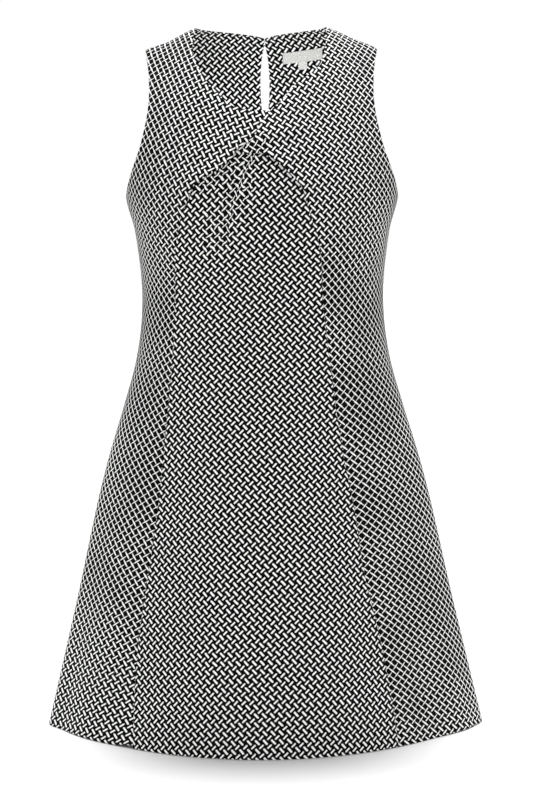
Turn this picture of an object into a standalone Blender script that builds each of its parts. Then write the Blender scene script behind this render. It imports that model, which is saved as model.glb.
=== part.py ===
"""A-line dress in its worn form, empty: twisted V neck, princess seams, keyhole back.

Metres, +Z up. The front faces -Y, and left and right are the viewer's, facing the front.
The origin lies midway between the middles of the two shoulder seams.
Sizes in the tables are millimetres. A place on the cloth is given in one of two ways:
    (x, z)        as seen square on from the front or the back
    (turn, rise)  turn is the angle round the form from the centre line, in radians, and rise the height,
                  which above the chest is eased so that equal steps run evenly over the shoulder
"""

import math

import bpy
import numpy as np
from mathutils import Vector

MM = 0.001
QUARTER = math.pi / 2

# Cloth and seams
CLOTH = 1.6
SEAM_GAP = 0.3
SIDE_SEAM_SPARE = 0.08  # more for each wall at the side seams, where the two lean a little towards each other
SEAM_BAND = 3.0  # narrow strip of faces along every edge, which keeps two walls parallel at their seam

# Levels, below the shoulder seams
HEM = -849.0
HIP = -510.0
WAIST = -320.0
CHEST = -235.0
UNDERARM = -195.0
TOP = 0.0

# Sections of the form that the dress is cut for, from the hem up. They are ovals at the body, and the
# skirt's flare draws its side seams out to an edge: edged is the share of that lens shape.
SECTIONS = (
    # level, half_width, front_depth, back_depth, edged
    (HEM, 270.0, 181.0, 181.0, 0.85),
    (-700.0, 234.5, 161.0, 163.0, 0.80),
    (HIP, 189.5, 136.0, 140.0, 0.55),
    (-450.0, 171.0, 127.0, 130.0, 0.35),
    (-395.0, 155.5, 119.0, 116.0, 0.12),
    (-345.0, 148.0, 114.0, 105.0, 0.0),
    (-295.0, 147.5, 119.0, 101.0, 0.0),
    (-262.0, 151.0, 126.5, 103.0, 0.0),
    (CHEST, 155.0, 128.0, 104.0, 0.0),
    (UNDERARM, 164.5, 128.0, 104.0, 0.0),
    (-150.0, 167.0, 128.0, 104.0, 0.0),
    (-100.0, 166.0, 128.0, 104.0, 0.0),
    (-50.0, 162.0, 128.0, 104.0, 0.0),
    (TOP, 156.0, 128.0, 104.0, 0.0),
)
SQUARENESS = 2.3  # power of the ovals: 2 is an ellipse
SIDE_ROUND = 10.0  # how round the lens is at its edge
FRONT = (-1, 1.6)  # side of the form along Y, and power of its curve from the chest to the shoulder
BACK = (1, 2.1)
SHOULDER_PEAK = 19.6
SHOULDER_FALL = 0.00174  # the shoulder line is SHOULDER_PEAK - SHOULDER_FALL * x * x

# Edges and seams, as points (x, z)
NECK_POINT = (78.0, 9.0)
SHOULDER_TIP = (141.0, -15.0)
ARMHOLE_FRONT = (
    (164.5, UNDERARM),
    (159.5, -177.0),
    (152.5, -158.0),
    (145.5, -139.0),
    (140.5, -120.0),
    (136.5, -101.0),
    (134.5, -82.0),
    (134.5, -62.0),
    (136.5, -40.0),
    SHOULDER_TIP,
)
ARMHOLE_BACK = (
    (164.5, UNDERARM),
    (158.5, -176.0),
    (151.0, -156.0),
    (144.0, -135.0),
    (137.5, -108.0),
    (135.0, -82.0),
    (135.0, -55.0),
    (137.5, -32.0),
    SHOULDER_TIP,
)
PRINCESS_LEFT = (
    (-158.0, HEM),
    (-155.5, -785.0),
    (-149.5, -716.0),
    (-137.5, -640.0),
    (-125.5, -560.0),
    (-116.0, -472.0),
    (-107.5, -385.0),
    (-103.5, -320.0),
    (-101.5, -255.0),
    (-94.5, -216.0),
)
PRINCESS_RIGHT = (
    (158.5, HEM),
    (149.0, -785.0),
    (134.5, -710.0),
    (119.5, -648.0),
    (107.5, -570.0),
    (93.0, -495.0),
    (79.0, -392.0),
    (71.0, -320.0),
    (66.0, -252.0),
    (54.5, -214.0),
)
# Lower edge of each half of the bust, from the princess seam to the tip that goes into the twist
FOLD_LEFT = (
    (-94.5, -216.0),
    (-86.5, -203.0),
    (-79.5, -188.0),
    (-64.5, -176.0),
    (-46.0, -162.5),
    (-33.5, -151.5),
    (-25.5, -140.5),
    (-9.0, -134.0),
    (6.0, -118.0),
)
FOLD_RIGHT = (
    (54.5, -214.0),
    (51.5, -203.0),
    (45.5, -188.0),
    (27.0, -168.5),
    (12.0, -156.0),
    (0.0, -150.5),
    (-12.0, -150.5),
    (-24.0, -151.5),
)
# Neck edge of each half, from that tip up to the neck point
NECK_LEFT = (
    (6.0, -118.0),
    (0.0, -107.5),
    (-12.0, -105.0),
    (-25.0, -101.5),
    (-37.0, -91.0),
    (-54.5, -73.0),
    (-72.5, -50.0),
    (-81.0, -28.0),
    (-81.5, -8.0),
    (-NECK_POINT[0], NECK_POINT[1]),
)
NECK_RIGHT = (
    (-24.0, -151.5),
    (-17.5, -142.5),
    (-9.0, -132.5),
    (0.7, -112.0),
    (11.0, -98.5),
    (24.0, -87.0),
    (36.0, -71.0),
    (52.0, -58.0),
    (69.0, -43.0),
    (76.5, -20.0),
    (78.5, -6.0),
    NECK_POINT,
)
CENTRE_FOLLOWS = 0.78  # share of each fold that the centre front's upper edges follow
CENTRE_TOP_LEFT = (-21.0, -131.0)
CENTRE_TOP_RIGHT = (7.0, -133.0)
# The pleat that runs down from the twist
PLEAT = (
    (-3.0, -143.0),
    (-13.5, -174.0),
    (-31.0, -220.0),
    (-37.0, -240.0),
    (-38.0, -262.0),
    (-37.5, -284.0),
)

# How far the centre front runs up under the bust pieces
LAP = 5.0
LAP_CLEARANCE = 0.8  # its distance from them where the lap begins
LAP_STARTS = (0.14, 0.44)  # shares of its upper edge between which the lap comes in
LAP_ENDS = (0.75, 1.0)
CLEAR_STARTS = (0.0, 0.03)
CLEAR_ENDS = (0.10, 0.18)

# How far the folds stand off the form. A range of shares is where a height comes in or dies away,
# along the fold from the princess seam or down the pleat from the twist.
FOLD_RAISE = 4.2
FOLD_WIDTH = 16.0
LEFT_FOLD_IN = (0.0, 0.22)
LEFT_FOLD_OUT = (0.60, 0.85)
LEFT_FOLD_LOSS = 0.6
RIGHT_FOLD_IN = (0.0, 0.25)
RIGHT_FOLD_OUT = (0.45, 0.95)
RIGHT_FOLD_LOSS = 0.75
TWIST_RAISE = 5.2
TWIST_WIDTH = 36.0
TWIST_CENTRE = (-8.0, -133.0)
SINK = 1.0  # how far the centre front sinks beside the folds
SINK_WIDTH = 12.0
SINK_IN = (-212.0, -187.0)  # levels between which it sinks
PLEAT_RAISE = 4.5
PLEAT_FRONT_WIDTH = 16.0
PLEAT_BACK_WIDTH = 5.0
PLEAT_IN = (0.0, 0.2)
PLEAT_OUT = (0.4, 1.0)
VALLEY_DEPTH = 0.4  # of the groove behind the pleat, as a share of the pleat's height
VALLEY_PLACE = 10.0
VALLEY_WIDTH = 7.0

# Back neck and keyhole
BACK_CENTRE = 4.5
BACK_NECK = (
    (NECK_POINT[0], NECK_POINT[1]),
    (50.0, 7.5),
    (26.0, 4.5),
    (8.0, 2.0),
    (0.0, 0.0),
)
BACK_NOTCH = 0.5  # level of the back neck edge at the keyhole
KEYHOLE_END = -118.0
KEYHOLE = (
    # level, half_width
    (BACK_NOTCH, 0.3),
    (-8.0, 0.8),
    (-20.0, 3.2),
    (-32.0, 4.6),
    (-46.0, 5.5),
    (-60.0, 5.5),
    (-74.0, 4.8),
    (-90.0, 3.3),
    (-105.0, 1.6),
    (KEYHOLE_END, 0.15),
)

# Label, size tab, button and loop
LABEL_LEFT = 27.0
LABEL_RIGHT = 76.0
LABEL_TOP = -16.5  # level of its top edge at the left end
LABEL_HEIGHT = 13.0
LABEL_TILT = 0.105  # rise of the top edge for each millimetre to the right
LABEL_CLOTH = 1.0
LABEL_GAP = 0.6  # from the back, which bends towards it between its rows
TAB_LEFT = 46.5
TAB_RIGHT = 57.5
TAB_HEIGHT = 9.0
LABEL_COLUMNS = 8
TAB_COLUMNS = 3
TAPE_ROWS = 3
BUTTON_RADIUS = 5.0
BUTTON_THICKNESS = 2.4
BUTTON_SHANK_RADIUS = 1.4
BUTTON_SHANK = 1.6
BUTTON_PLACE = (-3.4, -6.5)
BUTTON_EDGE = BUTTON_THICKNESS / 3
BUTTON_STEPS = 20
LOOP_RADIUS = 0.7
LOOP_STRAIGHT = (12.5, 7.0)  # x of the two points on each straight stretch of the loop
LOOP_BEND_POINTS = 7

# Rows of faces in each stretch of a front or a back, from the hem up, and columns across
HEM_TO_HIP_ROWS = 9
HIP_TO_WAIST_ROWS = 6
WAIST_TO_CHEST_ROWS = 6
CHEST_TO_TIP_ROWS = 9
TIP_TO_SHOULDER_ROWS = 10
UPPER_ROWS = CHEST_TO_TIP_ROWS + TIP_TO_SHOULDER_ROWS
KEYHOLE_ROWS = 12  # of a back's upper rows
LAPPED_ROWS = 12  # of the centre front, beside the folds
SIDE_COLUMNS = 9
CENTRE_COLUMNS = 12
BACK_COLUMNS = 10
BACK_NECK_COLUMN = 5  # the column that ends at the neck point

# Sizes that place the seam band: about the height of the lowest and the top row, and the width of a panel
LOWEST_ROW = 35.0
TOP_ROW = 14.0
SIDE_WIDTH = 150.0
CENTRE_WIDTH = 200.0
BACK_WIDTH = 160.0
SIDE_STRIP = 0.05  # share of a panel's turn in the strip at the side seam, where the form turns most
TOP_BLEND = 0.55  # share of the rows above which a back's rows turn to follow its top edge


def smooth(knots, values, at):
    """Reads a smooth curve through the values at the knots, which rise from first to last."""
    knots, values, at = (np.asarray(item, float) for item in (knots, values, at))
    step = np.diff(knots)
    slope = np.diff(values) / step
    tangent = np.concatenate(
        [slope[:1], (step[1:] * slope[:-1] + step[:-1] * slope[1:]) / (step[1:] + step[:-1]), slope[-1:]]
    )
    k = np.clip(np.searchsorted(knots, at) - 1, 0, len(step) - 1)
    t = (at - knots[k]) / step[k]
    return (
        (1 + 2 * t) * (1 - t) ** 2 * values[k]
        + t * (1 - t) ** 2 * step[k] * tangent[k]
        + t * t * (3 - 2 * t) * values[k + 1]
        + t * t * (t - 1) * step[k] * tangent[k + 1]
    )


def ease(t, span=(0.0, 1.0)):
    """0 below the span, 1 above it, and a soft step between."""
    t = np.clip((t - span[0]) / (span[1] - span[0]), 0, 1)
    return t * t * (3 - 2 * t)


def bump(distance, width):
    """1 at no distance, dying away softly over about the width."""
    return np.exp(-((distance / width) ** 2))


def section(level, column):
    table = np.array(SECTIONS)
    return smooth(table[:, 0], table[:, column], level)


def shoulder_line(x):
    return SHOULDER_PEAK - SHOULDER_FALL * x * x


def across(sine, deep, edged):
    """Depth of a section, where sine is the share of its half width that a point lies from the centre."""
    oval = deep * np.clip(1 - sine**SQUARENESS, 0, 1) ** (1 / SQUARENESS)
    lens = deep * np.clip(1 - sine**2, 0, 1)
    rounded = np.sqrt(lens**2 + SIDE_ROUND * lens) / np.sqrt(1 + SIDE_ROUND / np.maximum(deep, 1))
    return (1 - edged) * oval + edged * rounded


def form(turn, rise, face):
    """Points of the form, in millimetres, for arrays of turn and rise on one face."""
    side, power = face
    over = np.clip((rise - CHEST) / (TOP - CHEST), 0, 1) * QUARTER
    climb = np.sin(over) ** (2 / power)
    level = np.where(rise < CHEST, rise, CHEST + climb * (TOP - CHEST))
    x = section(level, 1) * np.sin(turn)
    deep = section(np.minimum(level, CHEST), 2 if face == FRONT else 3) * np.cos(over) ** (2 / power)
    y = side * across(np.abs(np.sin(turn)), deep, np.clip(section(level, 4), 0, 1))
    z = np.where(rise < CHEST, rise, CHEST + (shoulder_line(x) - CHEST) * climb)
    return np.stack([x, y, z], axis=-1)


def place(points, face):
    """(turn, rise) of points (x, z) on one face."""
    x, z = np.asarray(points, float).T
    climb = np.clip((z - CHEST) / (shoulder_line(x) - CHEST), 0, 1)
    level = np.where(z < CHEST, z, CHEST + climb * (TOP - CHEST))
    over = np.arcsin(climb ** (face[1] / 2))
    rise = np.where(z < CHEST, z, CHEST + over / QUARTER * (TOP - CHEST))
    turn = np.arcsin(np.clip(x / section(level, 1), -1, 1))
    return np.stack([turn, rise], axis=-1)


def outward(turn, rise, face):
    """Unit normals of the form, pointing out."""
    step_turn, step_rise = 1e-3, 0.1
    low = np.minimum(rise, TOP - step_rise)
    left, right = (np.clip(turn + step, -QUARTER, QUARTER) for step in (-step_turn, step_turn))
    across = form(right, low, face) - form(left, low, face)
    up = form(turn, low + step_rise, face) - form(turn, low - step_rise, face)
    normal = np.cross(across, up) * -face[0]
    return normal / np.linalg.norm(normal, axis=-1, keepdims=True)


def along(points, count, start=0.0, end=1.0):
    """count + 1 points, evenly spaced along a stretch of the smooth curve through the points."""
    points = np.asarray(points, float)
    length = np.concatenate([[0], np.cumsum(np.linalg.norm(np.diff(points, axis=0), axis=1))])
    at = np.linspace(start, end, count + 1) * length[-1]
    return np.stack([smooth(length, points[:, 0], at), smooth(length, points[:, 1], at)], axis=-1)


def seam_at(points, levels):
    """Points of a seam, given from the hem up, at some levels."""
    points = np.asarray(points, float)
    return np.stack([smooth(points[:, 1], points[:, 0], levels), levels], axis=-1)


def near(points, x, z):
    """Distance to a curve, its signed side (positive to the right of its run) and the share of its length."""
    path = along(points, 60)
    start, step = path[:-1], np.diff(path, axis=0)
    place_xz = np.stack([x, z], axis=-1)[..., None, :]
    share = np.clip(((place_xz - start) * step).sum(-1) / (step * step).sum(-1), 0, 1)
    offset = place_xz - (start + share[..., None] * step)
    distance = np.linalg.norm(offset, axis=-1)
    best = distance.argmin(-1)[..., None]
    turned = step[:, 1] * offset[..., 0] - step[:, 0] * offset[..., 1]
    side = np.take_along_axis(turned, best, -1)[..., 0]
    share = (best[..., 0] + np.take_along_axis(share, best, -1)[..., 0]) / len(step)
    return np.take_along_axis(distance, best, -1)[..., 0], np.sign(side), share


def raised_left(x, z):
    """How far the left half stands off the form: along its lower fold, less where it dives into the twist."""
    distance, _, share = near(FOLD_LEFT, x, z)
    height = FOLD_RAISE * ease(share, LEFT_FOLD_IN) * (1 - LEFT_FOLD_LOSS * ease(share, LEFT_FOLD_OUT))
    return height * bump(distance, FOLD_WIDTH)


def raised_right(x, z):
    """The same for the right half, which lies over the left one in the twist."""
    distance, _, share = near(FOLD_RIGHT, x, z)
    height = FOLD_RAISE * ease(share, RIGHT_FOLD_IN) * (1 - RIGHT_FOLD_LOSS * ease(share, RIGHT_FOLD_OUT))
    reach = np.hypot(x - TWIST_CENTRE[0], z - TWIST_CENTRE[1])
    return height * bump(distance, FOLD_WIDTH) + TWIST_RAISE * bump(reach, TWIST_WIDTH)


def raised_centre(x, z):
    """The centre front sinks under the bust pieces, and its pleat stands out."""
    to_fold = np.minimum(near(FOLD_LEFT, x, z)[0], near(FOLD_RIGHT, x, z)[0])
    sink = SINK * bump(to_fold, SINK_WIDTH) * ease(z, SINK_IN)
    distance, side, share = near(PLEAT, x, z)
    ridge = bump(distance, np.where(side < 0, PLEAT_FRONT_WIDTH, PLEAT_BACK_WIDTH))
    valley = np.where(side > 0, VALLEY_DEPTH * bump(distance - VALLEY_PLACE, VALLEY_WIDTH), 0)
    height = PLEAT_RAISE * ease(share, PLEAT_IN) * (1 - ease(share, PLEAT_OUT))
    return height * (ridge - valley) - sink


def not_raised(x, z):
    return np.zeros_like(x)


def fractions(count, first, last):
    """Column places from 0 to 1, with a narrow first and last strip."""
    return np.concatenate([[0], np.linspace(first, 1 - last, count + 1), [1]])


def with_bands(edge_a, edge_b):
    """Adds a row a seam band away from the first and the last one, to two edges of (turn, rise) points."""
    banded = []
    for edge in (edge_a, edge_b):
        first = edge[0] + (edge[1] - edge[0]) * SEAM_BAND / LOWEST_ROW
        last = edge[-1] + (edge[-2] - edge[-1]) * SEAM_BAND / TOP_ROW
        banded.append(np.concatenate([edge[:1], [first], edge[1:-1], [last], edge[-1:]]))
    return banded


def pull_in(points, spare):
    """Moves each edge of a grid of points in by half a seam gap, and its first column by some more."""
    moved = points.copy()
    moves = (
        # edge, the line of points next to it, distance
        (np.s_[0], np.s_[1], SEAM_GAP / 2),
        (np.s_[-1], np.s_[-2], SEAM_GAP / 2),
        (np.s_[:, 0], np.s_[:, 1], SEAM_GAP / 2 + spare),
        (np.s_[:, -1], np.s_[:, -2], SEAM_GAP / 2),
    )
    for edge, inner, distance in moves:
        step = points[inner] - points[edge]
        moved[edge] += step / np.linalg.norm(step, axis=-1, keepdims=True) * distance
    return moved


def grid_points(left, right, columns, face, raised, top=None, spare=SIDE_SEAM_SPARE):
    """The middle surface of a panel, as rows of points between two edges of (turn, rise).

    The top row follows top where it is given. spare is what the first column is moved in by, over half a gap.
    """
    share = columns[None, :, None]
    spread = left[:, None] * (1 - share) + right[:, None] * share
    if top is not None:
        turned = ease(np.linspace(0, 1, len(left)), (TOP_BLEND, 1))
        spread = spread + (top - spread[-1])[None] * turned[:, None, None]
    turn, rise = spread[..., 0], spread[..., 1]
    points = form(turn, rise, face)
    lift = raised(points[..., 0], points[..., 2])
    return pull_in(points + outward(turn, rise, face) * lift[..., None], spare)


def material(name, colour, roughness):
    made = bpy.data.materials.new(name)
    made.use_nodes = True
    surface = made.node_tree.nodes["Principled BSDF"]
    surface.inputs["Base Color"].default_value = (*colour, 1)
    surface.inputs["Roughness"].default_value = roughness
    surface.inputs["Metallic"].default_value = 0
    made.diffuse_color = (*colour, 1)
    return made


def add_object(name, mesh, collection, finish):
    piece = bpy.data.objects.new(name, mesh)
    collection.objects.link(piece)
    mesh.materials.append(finish)
    return piece


def cloth_panel(name, points, thickness, collection, finish):
    """A loft through the rows of points, given its thickness evenly to both sides."""
    rows, columns = points.shape[:2]
    index = np.arange(rows * columns).reshape(rows, columns)
    faces = [
        (index[i, j], index[i, j + 1], index[i + 1, j + 1], index[i + 1, j])
        for i in range(rows - 1)
        for j in range(columns - 1)
    ]
    mesh = bpy.data.meshes.new(name)
    mesh.from_pydata((points.reshape(-1, 3) * MM).tolist(), [], faces)
    mesh.shade_smooth()
    piece = add_object(name, mesh, collection, finish)
    wall = piece.modifiers.new("Cloth", "SOLIDIFY")
    wall.thickness = thickness * MM
    wall.offset = 0
    return piece


def low_levels(seam_end):
    """Levels of the rows from the hem up to where the princess or side seam ends."""
    return np.concatenate(
        [
            np.linspace(HEM, HIP, HEM_TO_HIP_ROWS + 1),
            np.linspace(HIP, WAIST, HIP_TO_WAIST_ROWS + 1)[1:],
            np.linspace(WAIST, seam_end, WAIST_TO_CHEST_ROWS + 1)[1:],
        ]
    )


def even_on_form(points, count, face):
    """(turn, rise) of count + 1 points, evenly spaced over the form, along a curve of points (x, z)."""
    path = place(along(points, 600), face)
    walk = form(path[:, 0], path[:, 1], face)
    length = np.concatenate([[0], np.cumsum(np.linalg.norm(np.diff(walk, axis=0), axis=1))])
    at = np.linspace(0, length[-1], count + 1)
    return np.stack([np.interp(at, length, path[:, 0]), np.interp(at, length, path[:, 1])], axis=-1)


def outer_edge(armhole, face, sign):
    """Side seam and armhole, as (turn, rise): the side seam is a quarter turn from the centre."""
    levels = low_levels(UNDERARM)
    side_seam = place(np.stack([section(levels, 1), levels], axis=-1), face)
    side_seam[:, 0] = QUARTER
    edge = np.concatenate([side_seam, even_on_form(armhole, UPPER_ROWS, face)[1:]])
    edge[:, 0] *= sign
    return edge


def front_side(name, sign, princess, fold, neck, raised, collection, finish):
    """One front from the side seam to the princess seam, its fold and its half of the neck edge."""
    seam = seam_at(princess, low_levels(fold[0][1]))
    fold_edge = along(fold, CHEST_TO_TIP_ROWS)[1:]
    neck_edge = along(neck, TIP_TO_SHOULDER_ROWS)[1:]
    inner = place(np.concatenate([seam, fold_edge, neck_edge]), FRONT)
    outer, inner = with_bands(outer_edge(ARMHOLE_FRONT, FRONT, sign), inner)
    columns = fractions(SIDE_COLUMNS, SIDE_STRIP, SEAM_BAND / SIDE_WIDTH)
    points = grid_points(outer, inner, columns, FRONT, raised)
    return cloth_panel(name, points, CLOTH, collection, finish)


def lapped(fold, top, sign):
    """The fold's curve, moved up under the bust piece by the lap, and ended at the centre front's top."""
    followed = along(fold, 7, 0, CENTRE_FOLLOWS)
    path = along(np.concatenate([followed, [top]]), LAPPED_ROWS)
    share = np.linspace(0, 1, LAPPED_ROWS + 1)
    step = np.gradient(path, axis=0)
    length = np.linalg.norm(step, axis=1, keepdims=True)
    normal = np.stack([-step[:, 1], step[:, 0]], axis=-1) / length
    under = LAP * ease(share, LAP_STARTS) * (1 - ease(share, LAP_ENDS))
    clear = LAP_CLEARANCE * ease(share, CLEAR_STARTS) * (1 - ease(share, CLEAR_ENDS))
    return path + sign * normal * (under - clear)[:, None]


def front_centre(collection, finish):
    """The panel between the princess seams, which runs up under both bust pieces."""
    edges = []
    for princess, fold, top, sign in (
        (PRINCESS_LEFT, FOLD_LEFT, CENTRE_TOP_LEFT, 1),
        (PRINCESS_RIGHT, FOLD_RIGHT, CENTRE_TOP_RIGHT, -1),
    ):
        seam = seam_at(princess, low_levels(fold[0][1]))
        edges.append(place(np.concatenate([seam, lapped(fold, top, sign)[1:]]), FRONT))
    left, right = with_bands(*edges)
    strip = SEAM_BAND / CENTRE_WIDTH
    columns = fractions(CENTRE_COLUMNS, strip, strip)
    points = grid_points(left, right, columns, FRONT, raised_centre, spare=0)
    return cloth_panel("front_centre", points, CLOTH, collection, finish)


def back_panel(name, sign, collection, finish):
    """One back from the side seam to the centre seam and its half of the keyhole."""
    levels = np.concatenate(
        [
            low_levels(UNDERARM),
            np.linspace(UNDERARM, KEYHOLE_END, UPPER_ROWS - KEYHOLE_ROWS + 1)[1:],
            np.linspace(KEYHOLE_END, BACK_NOTCH, KEYHOLE_ROWS + 1)[1:],
        ]
    )
    hole = np.array(KEYHOLE)[::-1]
    half_hole = np.where(levels > KEYHOLE_END, smooth(hole[:, 0], hole[:, 1], levels), 0)
    inner = place(np.stack([BACK_CENTRE + sign * half_hole, levels], axis=-1), BACK)
    outer, inner = with_bands(outer_edge(ARMHOLE_BACK, BACK, sign), inner)

    columns = fractions(BACK_COLUMNS, SIDE_STRIP, SEAM_BAND / BACK_WIDTH)
    seam_columns = BACK_NECK_COLUMN + 1
    tip, point = place([SHOULDER_TIP, NECK_POINT], BACK)
    shoulder = tip + (point - tip) * (columns[:seam_columns] / columns[seam_columns - 1])[:, None]
    neck = along(BACK_NECK, len(columns) - seam_columns)[1:]
    top = np.concatenate([shoulder, place(neck, BACK)])
    top[:, 0] *= sign
    top[-1] = inner[-1]
    points = grid_points(outer, inner, columns, BACK, not_raised, top)
    return cloth_panel(name, points, CLOTH, collection, finish)


def on_back(x, z, out):
    """Points on the back's middle surface, moved out by a distance."""
    turn, rise = place(np.stack([np.ravel(x), np.ravel(z)], axis=-1), BACK).T
    points = form(turn, rise, BACK) + outward(turn, rise, BACK) * out
    return points.reshape(*np.shape(x), 3)


def tape(name, left, right, top, height, columns, collection, finish):
    """A small tape that lies on the inside of the back."""
    x, share = np.meshgrid(np.linspace(left, right, columns + 1), np.linspace(1, 0, TAPE_ROWS + 1))
    z = top + (x - LABEL_LEFT) * LABEL_TILT - share * height
    inside = -(CLOTH / 2 + LABEL_GAP + LABEL_CLOTH / 2)
    return cloth_panel(name, on_back(x, z, inside), LABEL_CLOTH, collection, finish)


def button(collection, finish):
    """A turned button on a short shank, square to the back's outer face."""
    x, z = (np.array([value]) for value in BUTTON_PLACE)
    seat = on_back(x, z, CLOTH / 2 + SEAM_GAP)[0]
    axis = Vector((on_back(x, z, 10.0)[0] - on_back(x, z, 0.0)[0]).tolist()).normalized()
    top = BUTTON_SHANK + BUTTON_THICKNESS
    profile = (
        (0.0, top),
        (BUTTON_RADIUS - BUTTON_EDGE, top),
        (BUTTON_RADIUS, top - BUTTON_EDGE),
        (BUTTON_RADIUS, BUTTON_SHANK + BUTTON_EDGE),
        (BUTTON_RADIUS - BUTTON_EDGE, BUTTON_SHANK),
        (BUTTON_SHANK_RADIUS, BUTTON_SHANK),
        (BUTTON_SHANK_RADIUS, 0.0),
        (0.0, 0.0),
    )
    mesh = bpy.data.meshes.new("back_button")
    edges = [(i, i + 1) for i in range(len(profile) - 1)]
    mesh.from_pydata([(radius * MM, 0, height * MM) for radius, height in profile], edges, [])
    piece = add_object("back_button", mesh, collection, finish)
    turned = piece.modifiers.new("Turned", "SCREW")
    turned.steps = BUTTON_STEPS
    turned.render_steps = BUTTON_STEPS
    turned.use_merge_vertices = True
    turned.merge_threshold = 0.0001
    turned.use_smooth_shade = True
    piece.location = Vector(seat.tolist()) * MM
    piece.rotation_mode = "QUATERNION"
    piece.rotation_quaternion = axis.to_track_quat("Z", "Y")
    return piece


def button_loop(collection, finish):
    """A fine cord from the right edge of the keyhole, round the button's shank and back."""
    button_x, button_z = BUTTON_PLACE
    reach = BUTTON_SHANK_RADIUS + LOOP_RADIUS + SEAM_GAP
    bend = [
        (button_x - reach * math.sin(angle), button_z + reach * math.cos(angle))
        for angle in np.linspace(0, math.pi, LOOP_BEND_POINTS)
    ]
    upper = [(x, button_z + reach) for x in LOOP_STRAIGHT]
    lower = [(x, button_z - reach) for x, _ in reversed(upper)]
    route = np.array(upper + bend + lower)
    points = on_back(route[:, 0], route[:, 1], CLOTH / 2 + SEAM_GAP + LOOP_RADIUS) * MM
    cord = bpy.data.curves.new("button_loop", "CURVE")
    cord.dimensions = "3D"
    cord.bevel_depth = LOOP_RADIUS * MM
    cord.bevel_resolution = 1
    cord.use_fill_caps = True
    spline = cord.splines.new("POLY")
    spline.points.add(len(points) - 1)
    for point, at in zip(spline.points, points):
        point.co = (*at, 1)
    return add_object("button_loop", cord, collection, finish)


def main():
    for old in list(bpy.data.objects):
        bpy.data.objects.remove(old)
    dress = bpy.data.collections.new("a_line_dress")
    bpy.context.scene.collection.children.link(dress)

    shades = (
        # piece, grey
        ("centre front", 0.16),
        ("left front", 0.20),
        ("right front", 0.20),
        ("left back", 0.13),
        ("right back", 0.13),
    )
    cloth = {piece: material(f"{piece} cloth", (grey, grey, grey), 0.85) for piece, grey in shades}
    front_centre(dress, cloth["centre front"])
    sides = (
        # name, sign, princess, fold, neck, raised, cloth
        ("front_side_left", -1, PRINCESS_LEFT, FOLD_LEFT, NECK_LEFT, raised_left, "left front"),
        ("front_side_right", 1, PRINCESS_RIGHT, FOLD_RIGHT, NECK_RIGHT, raised_right, "right front"),
    )
    for name, sign, princess, fold, neck, raised, piece in sides:
        front_side(name, sign, princess, fold, neck, raised, dress, cloth[piece])
    back_panel("back_left", -1, dress, cloth["left back"])
    back_panel("back_right", 1, dress, cloth["right back"])

    label_tape = material("woven tape", (0.62, 0.62, 0.60), 0.7)
    tape("neck_label", LABEL_LEFT, LABEL_RIGHT, LABEL_TOP, LABEL_HEIGHT, LABEL_COLUMNS, dress, label_tape)
    tab_top = LABEL_TOP - LABEL_HEIGHT - SEAM_GAP
    tab_tape = material("size tape", (0.66, 0.66, 0.64), 0.7)
    tape("size_tab", TAB_LEFT, TAB_RIGHT, tab_top, TAB_HEIGHT, TAB_COLUMNS, dress, tab_tape)
    button(dress, material("black button", (0.02, 0.02, 0.02), 0.35))
    button_loop(dress, material("black cord", (0.02, 0.02, 0.02), 0.8))


main()
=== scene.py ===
import math

import bpy
import numpy as np
from mathutils import Matrix, Vector


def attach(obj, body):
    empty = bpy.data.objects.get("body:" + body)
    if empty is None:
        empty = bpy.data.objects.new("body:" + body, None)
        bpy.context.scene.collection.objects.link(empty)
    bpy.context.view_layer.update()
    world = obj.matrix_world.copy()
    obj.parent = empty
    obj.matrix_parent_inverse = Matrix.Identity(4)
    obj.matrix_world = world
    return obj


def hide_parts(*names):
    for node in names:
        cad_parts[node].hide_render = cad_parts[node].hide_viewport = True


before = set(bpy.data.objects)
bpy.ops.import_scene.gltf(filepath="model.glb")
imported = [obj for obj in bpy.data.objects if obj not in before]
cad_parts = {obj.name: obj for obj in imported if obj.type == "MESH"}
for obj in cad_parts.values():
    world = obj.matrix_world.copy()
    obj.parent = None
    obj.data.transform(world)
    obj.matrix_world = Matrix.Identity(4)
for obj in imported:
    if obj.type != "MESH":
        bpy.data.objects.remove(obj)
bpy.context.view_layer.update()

# The looks of an a-line dress in its worn form, empty. The front faces -Y, and left and right are the
# viewer's, facing the front. The tables are in millimetres. Each sheet of cloth lies on the form of the solid
# that it replaces. The neck's edge, the folds at the twist and the shoulder line stand up to 9 mm from it.

MM = 0.001
QUARTER = math.pi / 2

# Cloth
WALL = 1.6  # of the solids
CLOTH = 1.4  # of the sheets, whose outer face is the solids' own
SEAM_GAP = 0.1
RIM_ROUND = 0.5

# Levels, below the shoulder seams
HEM = -849
HIP = -510
WAIST = -320
CHEST = -235
UNDERARM = -195
TOP = 0

# Sections of the form, from the hem up
SECTIONS = (
    # level, half_width, front_depth, back_depth, edged
    (HEM, 270, 181, 181, 0.85),
    (-700, 234.5, 161, 163, 0.80),
    (HIP, 189.5, 136, 140, 0.55),
    (-450, 171, 127, 130, 0.35),
    (-395, 155.5, 119, 116, 0.12),
    (-345, 148, 114, 105, 0),
    (-295, 147.5, 119, 101, 0),
    (-262, 151, 126.5, 103, 0),
    (CHEST, 155, 128, 104, 0),
    (UNDERARM, 164.5, 128, 104, 0),
    (-150, 167, 128, 104, 0),
    (-100, 166, 128, 104, 0),
    (-50, 162, 128, 104, 0),
    (TOP, 156, 128, 104, 0),
)
SQUARENESS = 2.3
SIDE_ROUND = 10
FRONT = (-1, 1.6)
BACK = (1, 2.1)
SHOULDER_PEAK = 19.6
SHOULDER_FALL = 0.0019
SHOULDER_DIP = (4, 1.8)  # of the left and the right shoulder line, half way out
SHOULDER_DIP_PLACE = 112
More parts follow.
